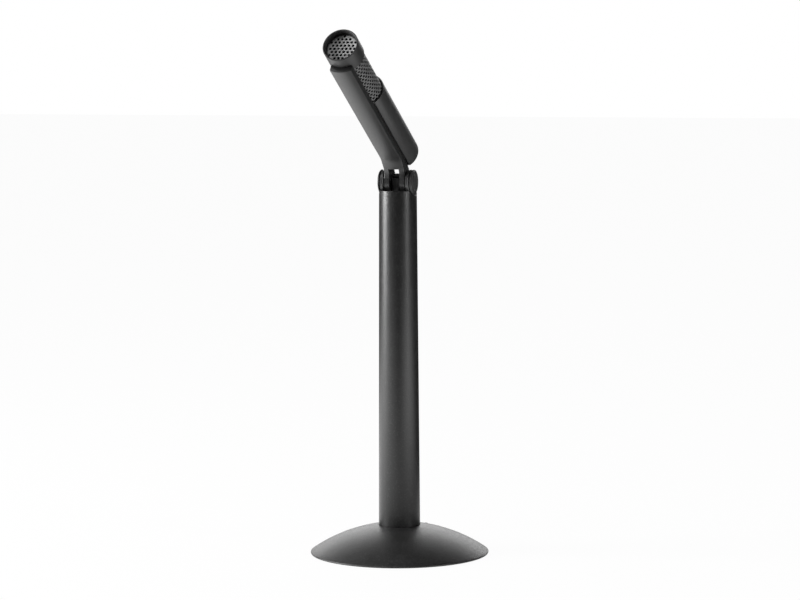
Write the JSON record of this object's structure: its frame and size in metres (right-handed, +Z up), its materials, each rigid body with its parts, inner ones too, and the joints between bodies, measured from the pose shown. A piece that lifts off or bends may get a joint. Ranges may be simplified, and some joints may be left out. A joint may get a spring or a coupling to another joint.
{
  "type": "desk microphone with tilting pencil head",
  "caption": "Desk microphone: weighted dome base, straight tube stalk and a slim pencil head on a friction hinge.",
  "frame": {"origin": "centre of the foot pad's underside, on the table", "axes": "+Z up along the stalk; the head leans towards -Y; X is the hinge axis"},
  "size_m": [0.075, 0.1097, 0.2197],
  "materials": {
    "base_black": "fine-textured matte black coat over the dome shell",
    "tube_black": "fine-textured satin black coat over the drawn tube",
    "hinge_black": "black satin moulded plastic",
    "housing_gloss": "smooth semi-gloss black moulded plastic",
    "sleeve_matte": "fine-grained matte charcoal moulded plastic",
    "cap_matte": "matte black moulded plastic with a slightly polished lip",
    "grille_grey": "light grey perforated steel sheet",
    "mesh_dark": "dark grey perforated steel sheet",
    "inner_black": "plain black moulded plastic, hidden inside",
    "rubber_black": "matte black rubber",
    "lead_black": "black PVC jacket",
    "foam_black": "open-cell black foam",
    "felt_black": "black felt",
    "cast_iron": "rough cast iron",
    "zinc_steel": "zinc-plated steel",
    "washer_nylon": "black nylon",
    "capsule_metal": "drawn aluminium can",
    "board_green": "green solder mask"
  },
  "bodies": {
    "stand": {"base_shell": "base_black", "base_weight": "cast_iron", "base_plate": "zinc_steel", "foot_pad": "rubber_black", "base_screws": "zinc_steel", "cable_gland": "rubber_black", "stalk_tube": "tube_black", "stalk_bush": "inner_black", "stalk_bolt": "zinc_steel", "stalk_washer": "zinc_steel", "stand_lead": "lead_black", "hinge_cap": "hinge_black", "hinge_screw": "zinc_steel", "hinge_nut": "zinc_steel", "spring_washer": "zinc_steel", "friction_washers": "washer_nylon", "hinge_cover_left": "hinge_black", "hinge_cover_right": "hinge_black"},
    "head": {"front_housing": "housing_gloss", "rear_sleeve": "sleeve_matte", "barrel_core": "inner_black", "side_mesh": "mesh_dark", "end_cap": "cap_matte", "end_grille": "grille_grey", "grille_ring": "cap_matte", "windscreen_foam": "foam_black", "capsule_boot": "rubber_black", "mic_capsule": "capsule_metal", "capsule_felt": "felt_black", "capsule_board": "board_green", "side_foam": "foam_black", "housing_screws": "zinc_steel", "core_plug": "inner_black", "sleeve_screw": "zinc_steel", "lead_grommet": "rubber_black", "head_lead": "lead_black"}
  },
  "joints": [
    {"name": "head_tilt", "type": "hinge", "parent": "stand", "child": "head", "pos_m": [0, 0, 0.1564], "axis": [1, 0, 0], "range_deg": [-88, 32]}
  ]
}
